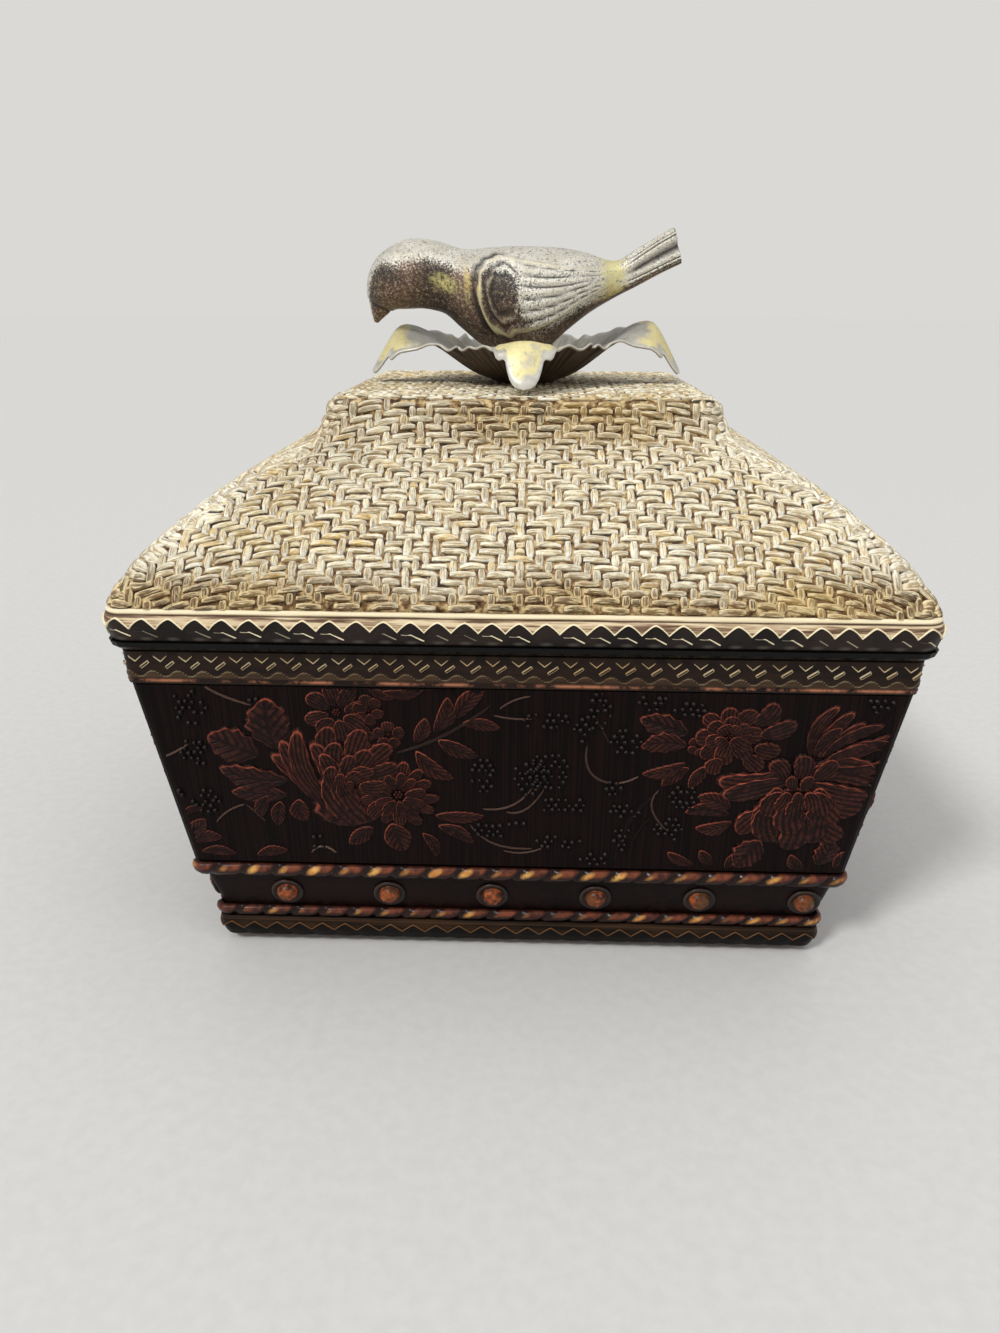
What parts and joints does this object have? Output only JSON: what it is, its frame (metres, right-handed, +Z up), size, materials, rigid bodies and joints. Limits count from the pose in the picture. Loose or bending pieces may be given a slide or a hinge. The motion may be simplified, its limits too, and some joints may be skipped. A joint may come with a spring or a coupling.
{
  "type": "trinket box",
  "caption": "Square tapered keepsake box with rope mouldings, studded frieze and a lift-off pagoda lid of basketweave with a bird finial on a leaf calyx.",
  "frame": {"origin": "on the floor, under the middle of the box", "axes": "+Z up, -Y out of the face seen in front, +X to its right; the bird looks along -X"},
  "size_m": [0.254, 0.254, 0.2433],
  "materials": {
    "foot_pad": "matt black pad",
    "stained_wood": "dark brown stain, satin",
    "felt": "dark brown flocked felt",
    "base_moulding": "brown and olive with rubbed gold on the raised line",
    "rope_bead": "dark red-brown with rubbed gold on each twist",
    "rim_band": "embossed, dark brown with rubbed gold relief",
    "floral_leather": "embossed, dark maroon ground with rust-red flowers",
    "frieze_leather": "smooth dark brown, slightly glossy",
    "stud": "rust-orange lacquered brass, worn ring",
    "black_lacquer": "black lacquer, glossy",
    "rim_strip": "embossed, taupe and cream relief over brown",
    "moulded_shell": "moulded fibreboard, dark brown",
    "basketweave": "straw-coloured basketweave with brown wax in the gaps",
    "leaf_metal": "aged silver-grey with pale gold centres",
    "cast_bird": "dark bronze-brown with rubbed pewter and gold highlights",
    "plain_steel": "zinc plated"
  },
  "bodies": {
    "base": {"foot_front_left": "foot_pad", "foot_front_right": "foot_pad", "foot_back_right": "foot_pad", "foot_back_left": "foot_pad", "bottom_board": "stained_wood", "floor_liner": "felt", "base_moulding": "base_moulding", "rope_bead_lower": "rope_bead", "rope_bead_upper": "rope_bead", "rim_band": "rim_band", "wall_front": "stained_wood", "floral_panel_front": "floral_leather", "frieze_front": "frieze_leather", "stud_front_1": "stud", "stud_front_2": "stud", "stud_front_3": "stud", "stud_front_4": "stud", "stud_front_5": "stud", "stud_front_6": "stud", "wall_right": "stained_wood", "floral_panel_right": "floral_leather", "frieze_right": "frieze_leather", "stud_right_1": "stud", "stud_right_2": "stud", "stud_right_3": "stud", "stud_right_4": "stud", "stud_right_5": "stud", "stud_right_6": "stud", "wall_back": "stained_wood", "floral_panel_back": "floral_leather", "frieze_back": "frieze_leather", "stud_back_1": "stud", "stud_back_2": "stud", "stud_back_3": "stud", "stud_back_4": "stud", "stud_back_5": "stud", "stud_back_6": "stud", "wall_left": "stained_wood", "floral_panel_left": "floral_leather", "frieze_left": "frieze_leather", "stud_left_1": "stud", "stud_left_2": "stud", "stud_left_3": "stud", "stud_left_4": "stud", "stud_left_5": "stud", "stud_left_6": "stud"},
    "lid": {"lid_frame_front": "black_lacquer", "lid_frame_right": "black_lacquer", "lid_frame_back": "black_lacquer", "lid_frame_left": "black_lacquer", "lid_lip": "black_lacquer", "lid_rim_strip": "rim_strip", "lid_shell": "moulded_shell", "woven_cover": "basketweave", "leaf_calyx": "leaf_metal", "bird": "cast_bird", "finial_washer": "plain_steel", "finial_screw": "plain_steel"}
  },
  "joints": [
    {"name": "lid_lift", "type": "slide", "parent": "base", "child": "lid", "axis": [0, 0, 1], "range_m": [0, 0.12]}
  ]
}
